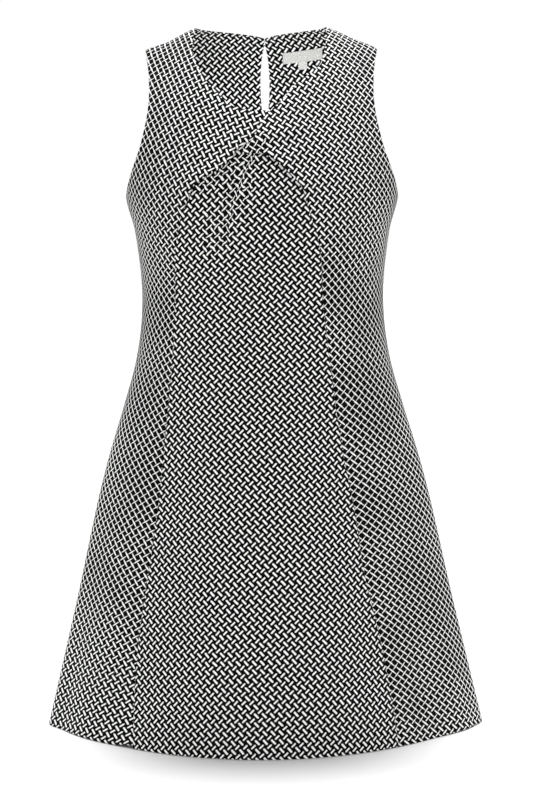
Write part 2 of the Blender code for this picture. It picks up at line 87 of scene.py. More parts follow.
SHOULDER_DIP_WIDTH = 18

# Edges and seams, as points (x, z)
NECK_POINT = (78, 8)
SHOULDER_TIP = (141, -18.2)
ARMHOLE_FRONT = (
    (164.5, UNDERARM), (159.5, -177), (152.5, -158), (145.5, -139), (140.5, -120), (136.5, -101),
    (134.5, -82), (134.5, -62), (136.5, -40), SHOULDER_TIP,
)
ARMHOLE_BACK = (
    (164.5, UNDERARM), (158.5, -176), (151, -156), (144, -135), (137.5, -108), (135, -82), (135, -55),
    (137.5, -32), SHOULDER_TIP,
)
PRINCESS_LEFT = (
    (-158, HEM), (-155.5, -785), (-149.5, -716), (-137.5, -640), (-125.5, -560), (-116, -472),
    (-107.5, -385), (-103.5, -320), (-101.5, -255), (-94.5, -216),
)
PRINCESS_RIGHT = (
    (158.5, HEM), (149, -785), (134.5, -710), (119.5, -648), (107.5, -570), (93, -495), (79, -392),
    (71, -320), (66, -252), (54.5, -214),
)
FOLD_LEFT = (
    (-94.5, -216), (-86.5, -203), (-79.5, -188), (-64.5, -176), (-45, -165), (-34.5, -155),
    (-26.5, -143), (-9, -134), (5, -122), (13, -111),
)
FOLD_RIGHT = (
    (54.5, -214), (51.5, -203), (45.5, -188), (27, -168.5), (12, -156), (0, -150.5), (-12, -150.5),
    (-24, -151.5),
)
NECK_LEFT = (
    (13, -111), (14, -104.5), (10, -99.8), (1, -98.2), (-8, -97.8), (-17, -96.8), (-28, -95),
    (-39, -88.5), (-54.5, -73), (-72.5, -50), (-81, -28), (-81.5, -8), (-NECK_POINT[0], NECK_POINT[1]),
)
NECK_RIGHT = (
    (-24, -151.5), (-17.5, -142.5), (-9, -132.5), (0.7, -112), (11, -98.5), (24, -87), (36, -71),
    (52, -58), (69, -43), (76.5, -20), (78.5, -6), NECK_POINT,
)
CENTRE_TOP_LEFT = (0.70, -23, -129)  # share of the fold that the edge follows, then x and z of its end
CENTRE_TOP_RIGHT = (0.68, 6, -132)
PLEAT = ((-4, -142), (-17.5, -172), (-32.5, -212), (-37.5, -238), (-38.5, -262), (-38, -284))

# Where the centre front runs up under the bust pieces
LAP = 5
LAP_CLEARANCE = 0.8
LAP_STARTS = (0.14, 0.44)
LAP_ENDS = (0.75, 1)
CLEAR_STARTS = (0, 0.03)
CLEAR_ENDS = (0.10, 0.18)

# The folds at the twist
FOLD_RAISE = 4.2
FOLD_WIDTH = 16
LEFT_RIDGE = (FOLD_LEFT, (0, 0.22), (0.56, 0.80), 0.85)  # where it grows and fades, and how much of it goes
RIGHT_RIDGE = (FOLD_RIGHT, (0, 0.25), (0.45, 0.95), 0.75)
TWIST_RAISE = 5.2
TWIST_WIDTH = 44
TWIST_CENTRE = (-8, -133)
SINK = 1
SINK_WIDTH = 12
SINK_IN = (-212, -187)
PLEAT_RAISE = 4.5
PLEAT_FRONT_WIDTH = 16
PLEAT_BACK_WIDTH = 3.6
PLEAT_IN = (0, 0.2)
PLEAT_OUT = (0.4, 1)
VALLEY_DEPTH = 0.4
VALLEY_PLACE = 8
VALLEY_WIDTH = 6
HEM_TUCK = 3  # by which the left side's hem is drawn up at its princess seam
HEM_TUCK_WIDTH = (0.13, 0.02)  # turn from the seam at which that starts and is whole
HEM_TUCK_HEIGHT = 70
PLEAT_TAKES = 6  # cloth that the pleat hides at its top
PLEAT_TURNS = (-2, 4.5)  # distances across the pleat's line within which that cloth disappears

# Back neck and keyhole
BACK_CENTRE = 4.5
BACK_NECK = (NECK_POINT, (50, 6.5), (26, 4.5), (8, 2), (0, 0))
BACK_NOTCH = 0.5
KEYHOLE_END = -118
KEYHOLE = (
    # level, half_width
    (BACK_NOTCH, 0.3), (-8, 0.8), (-20, 3.2), (-32, 4.6), (-46, 5.5), (-60, 5.5), (-74, 4.8),
    (-90, 3.3), (-105, 1.6), (KEYHOLE_END, 0.15),
)

# Label, size tab, button and loop
LABEL_LEFT = 27
LABEL_RIGHT = 76
LABEL_TOP = -16.5
LABEL_HEIGHT = 13
LABEL_TILT = 0.105
TAB_LEFT = 46.5
TAB_RIGHT = 57.5
TAB_HEIGHT = 9
TAB_TUCK = 1.1  # of its top, under the label
BUTTON_RADIUS = 5
BUTTON_THICKNESS = 2.4
BUTTON_SHANK_RADIUS = 1.4
BUTTON_SHANK = 1.6
BUTTON_PLACE = (-3.4, -6.5)
BUTTON_SEAT = 1.1  # over the back's middle surface
BUTTON_RIM = 0.9
BUTTON_DISH = 0.5
BUTTON_EDGE = 0.35
LOOP_RADIUS = 0.7
LOOP_END = 12.5
LOOP_REACH = 2.4
LOOP_OUT = 1.8
PLIES = 3
PLY_RADIUS = 0.36
PLY_PITCH = 3.4

# Fine grids: rows in each stretch of a panel from the hem up, and columns across
HEM_TO_HIP = 86
HIP_TO_WAIST = 48
WAIST_TO_CHEST = 36
FOLD_ROWS = 50
NECK_ROWS = 83
CENTRE_ROWS = 76
BACK_ROWS = 28
KEYHOLE_ROWS = 54
SIDE_COLUMNS = 52
CENTRE_COLUMNS = 104
BACK_COLUMNS = 96
SIDE_WIDTH = 130
CENTRE_WIDTH = 200
BACK_WIDTH = 160
NEAR_EDGE = (0.7, 1.6, 3)  # places of the lines of points close to an edge

# Rolled edges: how far the face turns in, and over what width
SEAM = (1.3, 2.4)
TURNED = (0.7, 2)
FOLDED = (2.4, 4)

# The weave: one repeat holds a broad dash that falls to the right and a slim one that rises
REPEAT = (9.3, 10.15)
STITCH = (0.46, 0.42)
DASHES = (
    # offset in the repeat, slope in degrees, half length, half width, corner
    ((0, 0), -49, 3.6, 1.22, 0.95),
    ((0.5, 0.5), 43, 3.35, 0.98, 0.95),
)
DASH_BLUR = 0.15
DRAWN = (2.1, -0.68)  # what a dash gains in half length, and in half width at its ends, in the net
DRAWN_MIDDLE = 0.22  # share of that slimming which its middle gets
DRAWN_BETWEEN = (0.5 * MM, 3 * MM)  # from there to its end
# The net, in metres: heights between which it comes in, and its share below them. Above the bust it fades
# from the armhole to the neck: heights between which that starts, then places across and its shares there
NET_ABOVE = {-1: (0.05, 0.2, 0.1), 1: (0, 0.06, 0.3)}
NET_FADES = (0.58, 0.66)
NET_TO_NECK = (-0.01, 0.05, 1, 0.25)
NET_WANDERS = 0.2
ROWS_WANDER = 0.0011
WIDER = 0.28  # share by which the knit is pulled wider over the skirt's front sides
WIDER_FROM = (560, 300)  # heights above the hem between which that starts
# Height from which its rows turn level with the hem, how steeply they have turned there, and how steeply its
# rows fall towards the twist
ROWS = {"front_left": (520, 0.28, 0.12), "front_right": (420, -0.24, 0)}
DROOP_FROM = (540, 660)

# Where small puckers throw the pattern out of order: round the twist and down along the pleat
PUCKERS = (
    # x and z of the middle, half width, half length, lean in degrees
    (-12, -138, 34, 24, 0),
    (-27, -190, 24, 78, 13),
    (-52, -172, 16, 44, 52),
    (-52, -236, 24, 48, 14),
)
PUCKERS_DRAW = 0.6  # how far they draw the dashes out into a net
PUCKER_SHIFT = 5.2
PUCKER_FADES = 0.45  # share of the way out from which it fades


def smooth(knots, values, at):
    """Reads a smooth curve through the values at the knots, which rise from first to last."""
    knots, values, at = (np.asarray(item, float) for item in (knots, values, at))
    step = np.diff(knots)
    slope = np.diff(values) / step
    tangent = np.concatenate(
        [slope[:1], (step[1:] * slope[:-1] + step[:-1] * slope[1:]) / (step[1:] + step[:-1]), slope[-1:]]
    )
    k = np.clip(np.searchsorted(knots, at) - 1, 0, len(step) - 1)
    t = (at - knots[k]) / step[k]
    return (
        (1 + 2 * t) * (1 - t) ** 2 * values[k]
        + t * (1 - t) ** 2 * step[k] * tangent[k]
        + t * t * (3 - 2 * t) * values[k + 1]
        + t * t * (t - 1) * step[k] * tangent[k + 1]
    )


def ease(t, span=(0.0, 1.0)):
    """0 below the span, 1 above it, and a soft step between."""
    t = np.clip((t - span[0]) / (span[1] - span[0]), 0, 1)
    return t * t * (3 - 2 * t)


def bump(distance, width):
    """1 at no distance, dying away softly over about the width."""
    return np.exp(-((distance / width) ** 2))


def unit(direction):
    return direction / np.linalg.norm(direction, axis=-1, keepdims=True)


def reached(path, axis=0):
    """Length of a path, or of the lines of a grid, from the start to each point."""
    steps = np.linalg.norm(np.diff(path, axis=axis), axis=-1)
    return np.insert(np.cumsum(steps, axis=axis), 0, 0, axis=axis)


def section(level, column):
    table = np.array(SECTIONS)
    return smooth(table[:, 0], table[:, column], level)


def shoulder_line(x):
    dip = np.where(x < 0, *SHOULDER_DIP) * bump(np.abs(x) - SHOULDER_DIP_PLACE, SHOULDER_DIP_WIDTH)
    return SHOULDER_PEAK - SHOULDER_FALL * x * x - dip


def across(sine, deep, edged):
    """Depth of a section, where sine is the share of its half width that a point lies from the centre."""
    oval = deep * np.clip(1 - sine**SQUARENESS, 0, 1) ** (1 / SQUARENESS)
    lens = deep * np.clip(1 - sine**2, 0, 1)
    rounded = np.sqrt(lens**2 + SIDE_ROUND * lens) / np.sqrt(1 + SIDE_ROUND / np.maximum(deep, 1))
    return (1 - edged) * oval + edged * rounded


def form(turn, rise, face):
    """Points of the form, in millimetres, for arrays of turn and rise on one face."""
    side, power = face
    over = np.clip((rise - CHEST) / (TOP - CHEST), 0, 1) * QUARTER
    climb = np.sin(over) ** (2 / power)
    level = np.where(rise < CHEST, rise, CHEST + climb * (TOP - CHEST))
    x = section(level, 1) * np.sin(turn)
    deep = section(np.minimum(level, CHEST), 2 if face == FRONT else 3) * np.cos(over) ** (2 / power)
    y = side * across(np.abs(np.sin(turn)), deep, np.clip(section(level, 4), 0, 1))
    z = np.where(rise < CHEST, rise, CHEST + (shoulder_line(x) - CHEST) * climb)
    return np.stack([x, y, z], axis=-1)


def place(points, face):
    """(turn, rise) of points (x, z) on one face."""
    x, z = np.asarray(points, float).T
    climb = np.clip((z - CHEST) / (shoulder_line(x) - CHEST), 0, 1)
    level = np.where(z < CHEST, z, CHEST + climb * (TOP - CHEST))
    over = np.arcsin(climb ** (face[1] / 2))
    rise = np.where(z < CHEST, z, CHEST + over / QUARTER * (TOP - CHEST))
    turn = np.arcsin(np.clip(x / section(level, 1), -1, 1))
    return np.stack([turn, rise], axis=-1)


def outward(turn, rise, face):
    """Unit normals of the form, pointing out."""
    step_turn, step_rise = 1e-3, 0.1
    low = np.minimum(rise, TOP - step_rise)
    left, right = (np.clip(turn + step, -QUARTER, QUARTER) for step in (-step_turn, step_turn))
    sideways = form(right, low, face) - form(left, low, face)
    up = form(turn, low + step_rise, face) - form(turn, low - step_rise, face)
    return unit(np.cross(sideways, up) * -face[0])


def along(points, count, start=0.0, end=1.0):
    """count + 1 points, evenly spaced along a stretch of the smooth curve through the points."""
    points = np.asarray(points, float)
    length = reached(points)
    at = np.linspace(start, end, count + 1) * length[-1]
    return np.stack([smooth(length, part, at) for part in points.T], axis=-1)


def seam_at(points, levels):
    """Points of a seam, given from the hem up, at some levels."""
    points = np.asarray(points, float)
    return np.stack([smooth(points[:, 1], points[:, 0], levels), levels], axis=-1)


def near(points, x, z):
    """Distance to a curve, its signed side (positive to the right of its run) and the share of its length."""
    path = along(points, 60)
    start, step = path[:-1], np.diff(path, axis=0)
    place_xz = np.stack([x, z], axis=-1)[..., None, :]
    share = np.clip(((place_xz - start) * step).sum(-1) / (step * step).sum(-1), 0, 1)
    offset = place_xz - (start + share[..., None] * step)
    distance = np.linalg.norm(offset, axis=-1)
    best = distance.argmin(-1)[..., None]
    turned = step[:, 1] * offset[..., 0] - step[:, 0] * offset[..., 1]
    side = np.take_along_axis(turned, best, -1)[..., 0]
    share = (best[..., 0] + np.take_along_axis(share, best, -1)[..., 0]) / len(step)
    return np.take_along_axis(distance, best, -1)[..., 0], np.sign(side), share


# Soft creases, each a ridge or a trough along a curve of points (x, z) as seen square on
CREASES = {
    "front_left": (
        # points, height, width on the left of its run, width on its right
        (((-18, -128), (-38, -132), (-66, -142), (-100, -156)), 1.3, 7, 5),
        (((-20, -118), (-44, -116), (-76, -118)), -0.9, 6, 6),
        (((-58, -92), (-76, -112), (-98, -138), (-118, -170)), -0.8, 11, 9),
        (((-96, -250), (-114, -262), (-134, -282)), -0.8, 10, 10),
    ),
    "front_right": (
        (((-16, -140), (4, -130), (34, -122), (70, -120)), 1.3, 6, 8),
        (((-12, -146), (14, -143), (36, -134), (56, -118)), -1.1, 5, 6),
        (((24, -170), (36, -153), (52, -133)), 2.6, 2.6, 6),
        (((40, -96), (66, -110), (96, -140), (120, -178)), -0.8, 11, 9),
        (((70, -330), (96, -322), (130, -318)), -0.9, 10, 8),
    ),
    "front_centre": (
        (((10, -158), (18, -186), (22, -226), (20, -268)), 0.8, 9, 9),
        (((-24, -146), (-36, -166), (-50, -192), (-60, -222)), 2.6, 2.6, 4.5),
        (((-18, -150), (-30, -172), (-40, -198), (-46, -226)), 2.4, 3.6, 2.4),
        (((-49, -204), (-42, -226), (-35, -252)), 2.2, 3, 2),
        (((-33, -194), (-30, -214), (-27.5, -236)), 1.8, 2, 3),
        (((-39, -238), (-37.5, -260), (-36, -284)), 2, 2, 3.2),
        (((-40, -172), (-56, -200), (-64, -240)), -0.8, 9, 9),
        (((-110, -760), (-96, -680), (-84, -590)), -1.2, 22, 22),
        (((96, -790), (84, -700), (70, -600)), 1.2, 24, 24),
    ),
    "back_left": (
        (((-118, -96), (-92, -128), (-70, -172), (-60, -220)), -1.8, 14, 12),
        (((-20, -128), (-26, -170), (-28, -230)), 1.2, 10, 12),
        (((-150, -318), (-104, -334), (-50, -336), (-8, -330)), -2.2, 9, 13),
        (((-146, -352), (-98, -366), (-48, -362)), 1.6, 11, 10),
        (((-84, -430), (-96, -540), (-110, -680), (-122, -845)), -4, 26, 22),
        (((-40, -520), (-46, -660), (-52, -845)), 3, 24, 28),
    ),
    "back_right": (
        (((120, -92), (98, -130), (80, -176), (74, -214)), -1.6, 12, 14),
        (((26, -122), (36, -164), (38, -220)), 1, 12, 10),
        (((150, -312), (110, -324), (64, -334), (18, -332)), -2, 12, 10),
        (((140, -344), (92, -352), (36, -360)), 1.5, 10, 12),
        (((70, -450), (84, -580), (98, -720), (106, -845)), -3.6, 24, 26),
        (((130, -500), (150, -640), (166, -845)), 3, 26, 22),
    ),
}

# Flutes of the skirt near its sides: each swells from nothing at its start level to its height at the hem
FLUTES = (
    # face, turn in degrees, width in degrees, height, start level
    (FRONT, -52, 9, 2.2, -480),
    (FRONT, -70, 7, -2.6, -460),
    (FRONT, 47, 8, -2, -500),
    (FRONT, 64, 8, 2.6, -470),
    (BACK, -66, 8, -3, -470),
    (BACK, -50, 9, 2.4, -500),
    (BACK, 55, 9, -2.6, -480),
    (BACK, 71, 7, 2.8, -460),
)
CREASE_FADES = 0.3  # share of a crease's length over which each end dies away


def creased(panel, turn, points, face):
    """How far the creases and flutes move a panel's points in or out."""
    x, z = points[..., 0], points[..., 2]
    moved = np.zeros_like(x)
    for path, height, left_width, right_width in CREASES[panel]:
        distance, side, share = near(path, x, z)
        faded = ease(share, (0, CREASE_FADES)) * ease(1 - share, (0, CREASE_FADES))
        if path[-1][1] < HEM + 10:
            faded = ease(share, (0, 2 * CREASE_FADES))
        moved += height * faded * bump(distance, np.where(side < 0, left_width, right_width))
    for flute_face, degrees, width, height, start in FLUTES:
        if flute_face == face:
            grown = ease(z, (start, HEM - 60))
            moved += height * grown * bump(np.degrees(turn) - degrees, width)
    return moved


def ridge(x, z, fold, grows, fades, loss):
    distance, _, share = near(fold, x, z)
    return FOLD_RAISE * ease(share, grows) * (1 - loss * ease(share, fades)) * bump(distance, FOLD_WIDTH)


def raised_left(x, z):
    return ridge(x, z, *LEFT_RIDGE)


def raised_right(x, z):
    reach = np.hypot(x - TWIST_CENTRE[0], z - TWIST_CENTRE[1])
    return ridge(x, z, *RIGHT_RIDGE) + TWIST_RAISE * bump(reach, TWIST_WIDTH)


def raised_centre(x, z):
    """The centre front sinks under the bust pieces, and its pleat stands out."""
    to_fold = np.minimum(near(FOLD_LEFT, x, z)[0], near(FOLD_RIGHT, x, z)[0])
    sink = SINK * bump(to_fold, SINK_WIDTH) * ease(z, SINK_IN)
    distance, side, share = near(PLEAT, x, z)
    crest = bump(distance, np.where(side < 0, PLEAT_FRONT_WIDTH, PLEAT_BACK_WIDTH))
    valley = np.where(side > 0, VALLEY_DEPTH * bump(distance - VALLEY_PLACE, VALLEY_WIDTH), 0)
    height = ease(share, PLEAT_IN) * (1 - ease(share, PLEAT_OUT))
    return PLEAT_RAISE * height * (crest - valley) - sink


def not_raised(x, z):
    return np.zeros_like(x)


def lines(length, count):
    """Shares of a length for the lines of points across it, close together near both ends."""
    inner = np.linspace(NEAR_EDGE[-1], length - NEAR_EDGE[-1], count + 1)
    first = np.array([0, *NEAR_EDGE[:-1]])
    return np.concatenate([first, inner, length - first[::-1]]) / length


def close_lines(edge, length_low, length_top):
    """Adds lines of points close to the first and the last one, to an edge of (turn, rise) points."""
    low = [edge[0] + (edge[1] - edge[0]) * gap / length_low for gap in NEAR_EDGE[:-1]]
    top = [edge[-1] + (edge[-2] - edge[-1]) * gap / length_top for gap in NEAR_EDGE[1::-1]]
    return np.concatenate([edge[:1], low, edge[1:-1], top, edge[-1:]])


def from_edges(points):
    """Distance in millimetres along the grid from every point to the bottom, top, first and last lines."""
    low, first = reached(points), reached(points, 1)
    return low, low[-1:] - low, first, first[:, -1:] - first


def rolled(distance, depth, width):
    """How far a rolled edge turns in at a distance from it: a quarter round."""
    t = np.clip(1 - distance / width, 0, 1)
    return depth * (1 - np.sqrt(np.clip(1 - t * t, 0, 1)))


def roll_takes(distance, depth, width):
    """The extra cloth that the quarter round of a rolled edge takes up to a distance from the edge."""
    t = np.clip(1 - distance / width, 0, 1)
    arc = math.pi / 4 * (3 * (width + depth) - np.sqrt((3 * width + depth) * (width + 3 * depth)))
    return (arc - width) * (np.arcsin(t) - t) / (QUARTER - 1)


def pull_in(points, gap):
    """Moves each edge of a grid of points in by a gap."""
    moved = points.copy()
    ends = (np.s_[0], np.s_[-1], np.s_[:, 0], np.s_[:, -1])
    for edge, inner in zip(ends, (np.s_[1], np.s_[-2], np.s_[:, 1], np.s_[:, -2])):
        moved[edge] += unit(points[inner] - points[edge]) * gap
    return moved


LAYINGS = ((24.0, 1000), (12.0, 300), (6.0, 150))  # size of the laying grid's squares, rounds of pulling
LAYING_RADIUS = 160.0  # of the form, to count the squares round it
LAYING_KEEPS = 0.95  # share of its speed that a point keeps from round to round
OUTSIDE = 0.02  # stiffness of the squares past the sheet's edges, against 1 for those on it
LINKS = (
    (np.s_[:, :-1], np.s_[:, 1:]),
    (np.s_[:-1, :], np.s_[1:, :]),
    (np.s_[:-1, :-1], np.s_[1:, 1:]),
    (np.s_[:-1, 1:], np.s_[1:, :-1]),
)


def pulled_flat(flat, grid, stiff, rounds):
    """Moves the flat points until every link between neighbours is about as long as it is on the form."""
    lengths = [np.linalg.norm(grid[b] - grid[a], axis=-1) for a, b in LINKS]
    shares = [np.minimum(stiff[a], stiff[b]) / 8 for a, b in LINKS]
    speed = np.zeros_like(flat)
    for _ in range(rounds):
        pull = np.zeros_like(flat)
        for (a, b), length, share in zip(LINKS, lengths, shares):
            step = flat[b] - flat[a]
            now = np.linalg.norm(step, axis=-1)
            move = step * ((now - length) / now * share)[..., None]
            pull[a] += move
            pull[b] -= move
        speed = LAYING_KEEPS * speed + pull
        flat = flat + speed
    return flat


def in_squares(lines, at):
    """Which square of an even grid each value lies in, and how far across it."""
    count = (at - lines[0]) / (lines[1] - lines[0])
    whole = np.clip(count.astype(int), 0, len(lines) - 2)
    return whole, (count - whole)[..., None]


def between(flat, turns, rises, turn, rise):
    """Reads the flat points of the laying grid at any places on it."""
    (i, s), (j, t) = in_squares(turns, turn), in_squares(rises, rise)
    low = flat[j, i] * (1 - s) + flat[j, i + 1] * s
    high = flat[j + 1, i] * (1 - s) + flat[j + 1, i + 1] * s
    return low * (1 - t) + high * t


def laid_flat(turn, rise, face, grain):
    """The cut of a sheet: its points laid flat, in millimetres, with their threads kept as long as they are.

    An even grid over the form starts as straight rows and is pulled flat, and finer grids follow from it.
    grain is the tilt in degrees of the grain line, from the middle column between the hem and the chest.
    """
    flat = None
    for size, rounds in LAYINGS:
        count = int(np.ptp(turn) * LAYING_RADIUS / size)
        turns = np.linspace(turn.min(), turn.max(), count)[:: -face[0]]
        rises = np.linspace(rise.min(), rise.max(), int(np.ptp(rise) / size))
        grid = form(*np.meshgrid(turns, rises), face)
        if flat is None:
            up, _, sideways, _ = from_edges(grid)
            middle = len(turns) // 2
            flat = np.stack([sideways - sideways[:, [middle]], up[:, [middle]] + 0 * sideways], axis=-1)
        else:
            flat = between(flat, *coarser, *np.meshgrid(turns, rises))
        stiff = np.full(flat.shape[:2], OUTSIDE)
        i, j = in_squares(turns, turn)[0], in_squares(rises, rise)[0]
        for right, above in ((0, 0), (1, 0), (0, 1), (1, 1)):
            stiff[j + above, i + right] = 1
        flat = pulled_flat(flat, grid, stiff, rounds)
        coarser = turns, rises
    flat = between(flat, *coarser, turn, rise)
    middle = turn.shape[1] // 2
    low, high = flat[0, middle], flat[np.searchsorted(rise[:, middle], CHEST), middle]
    tilt = math.atan2(high[0] - low[0], high[1] - low[1]) + math.radians(grain)
    turned = np.array([[math.cos(tilt), math.sin(tilt)], [-math.sin(tilt), math.cos(tilt)]])
    return (flat - low) @ turned


def flat_area(flat):
    """Area of a laid sheet, in square metres."""
    edge = np.concatenate([flat[0], flat[1:, -1], flat[-1, -2::-1], flat[-2:0:-1, 0]])
    x, y = edge.T
    return abs(np.dot(x, np.roll(y, 1)) - np.dot(y, np.roll(x, 1))) / 2 * MM * MM


def only(piece=None):
    """Deselects everything but one piece, and makes it the active one."""
    for other in bpy.context.selected_objects:
        other.select_set(False)
    if piece:
        piece.select_set(True)
        bpy.context.view_layer.objects.active = piece


def new_object(name, data):
    made = bpy.data.objects.new(name, data)
    bpy.context.scene.collection.objects.link(made)
    return made


def mode(name):
    bpy.ops.object.mode_set(mode=name)


def apply_modifiers(piece):
    only(piece)
    for modifier in list(piece.modifiers):
        bpy.ops.object.modifier_apply(modifier=modifier.name)


def mesh_piece(name, points, faces, places, finish):
    """A piece from its points, in millimetres, and its faces' places on the cloth, in metres."""
    mesh = bpy.data.meshes.new(name)
    mesh.from_pydata((np.array(points) * MM).tolist(), [], faces)
    mesh.uv_layers.new(name="cloth").data.foreach_set("uv", np.array(places).ravel())
    mesh.shade_smooth()
    mesh.materials.append(finish)
    return new_object(name, mesh)


def sheet_piece(name, points, flat, thickness, finish):
    """A thin shell whose outer face is the grid of points, with the laid cloth as its UV map, in metres."""
    rows, columns = points.shape[:2]
    index = np.arange(rows * columns).reshape(rows, columns)
    faces = np.stack([index[:-1, :-1], index[:-1, 1:], index[1:, 1:], index[1:, :-1]], axis=-1).reshape(-1, 4)
    places = (flat.reshape(-1, 2) * MM)[faces.reshape(-1)]
    piece = mesh_piece(name, points.reshape(-1, 3), faces.tolist(), places, finish)
    wall = piece.modifiers.new("Cloth", "SOLIDIFY")
    wall.thickness = thickness * MM
    wall.offset = -1
    rim = piece.modifiers.new("Rim", "BEVEL")
    rim.width = RIM_ROUND * MM
    rim.segments = 2
    rim.limit_method = "ANGLE"
    rim.angle_limit = math.radians(55)
    apply_modifiers(piece)
    return piece


def stepped(start, *stretches_up):
    """Levels from the start up, in even steps over each stretch of (its upper end, its number of steps)."""
    levels = [start]
    for end, count in stretches_up:
        levels.extend(np.linspace(levels[-1], end, count + 1)[1:])
    return np.array(levels)


def low_levels(seam_end, *more):
    """Levels of the rows from the hem up to where the princess or side seam ends, and more above it."""
    return stepped(HEM, (HIP, HEM_TO_HIP), (WAIST, HIP_TO_WAIST), (seam_end, WAIST_TO_CHEST), *more)


def even_on_form(points, count, face):
    """(turn, rise) of count + 1 points, evenly spaced over the form, along a curve of points (x, z)."""
    path = place(along(points, 600), face)
    walk = form(path[:, 0], path[:, 1], face)
    length = reached(walk)
    at = np.linspace(0, length[-1], count + 1)
    return np.stack([np.interp(at, length, part) for part in path.T], axis=-1)


def outer_edge(armhole, rows, face, sign):
    """Side seam and armhole, as (turn, rise): the side seam is a quarter turn from the centre."""
    levels = low_levels(UNDERARM)
    side_seam = place(np.stack([section(levels, 1), levels], axis=-1), face)
    side_seam[:, 0] = QUARTER
    edge = np.concatenate([side_seam, even_on_form(armhole, rows, face)[1:]])
    edge[:, 0] *= sign
    return edge


def stretches(*counted):
    """Depth and width of an edge's roll at each row, for stretches of (kind, rows), softly joined."""
    made = np.concatenate([np.repeat([kind], rows, axis=0) for kind, rows in counted])
    padded = np.pad(made, ((3, 3), (0, 0)), mode="edge")
    return np.stack([np.convolve(padded[:, k], np.ones(7) / 7, mode="valid") for k in (0, 1)])


def cloth_sheet(panel, grain, shift, left, right, columns, face, raised, edges, top=None):
    """One panel: its outer points with creases and rolled edges, its laid cloth, its cut and its area."""
    share = columns[None, :, None]
    spread = left[:, None] * (1 - share) + right[:, None] * share
    if top is not None:
        turned = ease(np.linspace(0, 1, len(left)), (0.55, 1))
        spread = spread + (top - spread[-1])[None] * turned[:, None, None]
    if spread[0, 0, 0] * face[0] < spread[0, -1, 0] * face[0]:
        spread = spread[:, ::-1]
        edges = (edges[0], edges[1], edges[3], edges[2])
    turn, rise = spread[..., 0], spread[..., 1]
    if panel == "front_left":
        beside = ease(turn, [turn[0].max() - width for width in HEM_TUCK_WIDTH])
        rise = rise + HEM_TUCK * beside * (1 - ease(rise, (HEM, HEM + HEM_TUCK_HEIGHT)))
    points = form(turn, rise, face)
    flat = laid_flat(turn, rise, face, grain)
    lift = WALL / 2 + raised(points[..., 0], points[..., 2]) + creased(panel, turn, points, face)
    size = flat.reshape(-1, 2).max(axis=0) - flat.reshape(-1, 2).min(axis=0)
    area = flat_area(flat)
    upwards, sideways = (np.gradient(flat, axis=axis) for axis in (0, 1))
    runs = (-upwards, upwards, -sideways, sideways)
    for distance, (depth, width), run in zip(from_edges(points), edges, runs):
        depth, width = (np.asarray(item, float) for item in (depth, width))
        if depth.ndim:
            depth, width = depth[:, None], width[:, None]
        lift = lift - rolled(distance, depth, width)
        flat = flat + unit(run) * roll_takes(distance, depth, width)[..., None]
    flat = flat + np.array(shift)
    if panel in ROWS:
        level_from, level, droop = ROWS[panel]
        low_down = np.clip(1 - flat[..., 1] / level_from, 0, 1)
        high_up = ease(flat[..., 1], DROOP_FROM)
        flat[..., 0] /= 1 + WIDER * ease(-flat[..., 1], (-WIDER_FROM[0], -WIDER_FROM[1]))
        flat[..., 1] += (droop * high_up - level * low_down) * flat[..., 0]
    if panel == "front_centre":
        distance, side, along_pleat = near(PLEAT, points[..., 0], points[..., 2])
        hidden = PLEAT_TAKES * (1 - along_pleat) * (1 - ease(along_pleat, (0.7, 1)))
        flat[..., 0] -= hidden * ease(distance * side, PLEAT_TURNS)
    points = pull_in(points + outward(turn, rise, face) * lift[..., None], SEAM_GAP / 2)
    return points, flat, size * MM, area


def front_side(sign, princess, fold, neck, raised):
    """One front from the side seam to the princess seam, its fold and its half of the neck edge."""
    seam = seam_at(princess, low_levels(fold[0][1]))
    fold_edge = along(fold, FOLD_ROWS)[1:]
    neck_edge = along(neck, NECK_ROWS)[1:]
    inner = place(np.concatenate([seam, fold_edge, neck_edge]), FRONT)
    outer = outer_edge(ARMHOLE_FRONT, FOLD_ROWS + NECK_ROWS, FRONT, sign)
    outer, inner = (close_lines(edge, 4.0, 2.5) for edge in (outer, inner))
    low_rows = len(seam) + 2
    high_rows = len(outer) - low_rows
    outer_roll = stretches((SEAM, low_rows), (TURNED, high_rows))
    inner_roll = stretches((SEAM, low_rows), (FOLDED, FOLD_ROWS), (TURNED, high_rows - FOLD_ROWS))
    edges = (TURNED, SEAM, outer_roll, inner_roll)
    return outer, inner, lines(SIDE_WIDTH, SIDE_COLUMNS), FRONT, raised, edges


def lapped(fold, top, sign):
    """The fold's curve, moved up under the bust piece by the lap, and ended at the centre front's top."""
    followed = along(fold, 7, 0, top[0])
    path = along(np.concatenate([followed, [top[1:]]]), CENTRE_ROWS)
    share = np.linspace(0, 1, CENTRE_ROWS + 1)
    step = np.gradient(path, axis=0)
    normal = unit(np.stack([-step[:, 1], step[:, 0]], axis=-1))
    under = LAP * ease(share, LAP_STARTS) * (1 - ease(share, LAP_ENDS))
    clear = LAP_CLEARANCE * ease(share, CLEAR_STARTS) * (1 - ease(share, CLEAR_ENDS))
    return path + sign * normal * (under - clear)[:, None]


def front_centre():
    """The panel between the princess seams, which runs up under both bust pieces."""
    sides = []
    for princess, fold, top, sign in (
        (PRINCESS_LEFT, FOLD_LEFT, CENTRE_TOP_LEFT, 1),
        (PRINCESS_RIGHT, FOLD_RIGHT, CENTRE_TOP_RIGHT, -1),
    ):
        seam = seam_at(princess, low_levels(fold[0][1]))
        edge = place(np.concatenate([seam, lapped(fold, top, sign)[1:]]), FRONT)
        sides.append(close_lines(edge, 4.0, 2.0))
    roll = stretches((SEAM, len(seam) + 2), (TURNED, len(sides[0]) - len(seam) - 2))
    edges = (TURNED, TURNED, roll, roll)
    return *sides, lines(CENTRE_WIDTH, CENTRE_COLUMNS), FRONT, raised_centre, edges


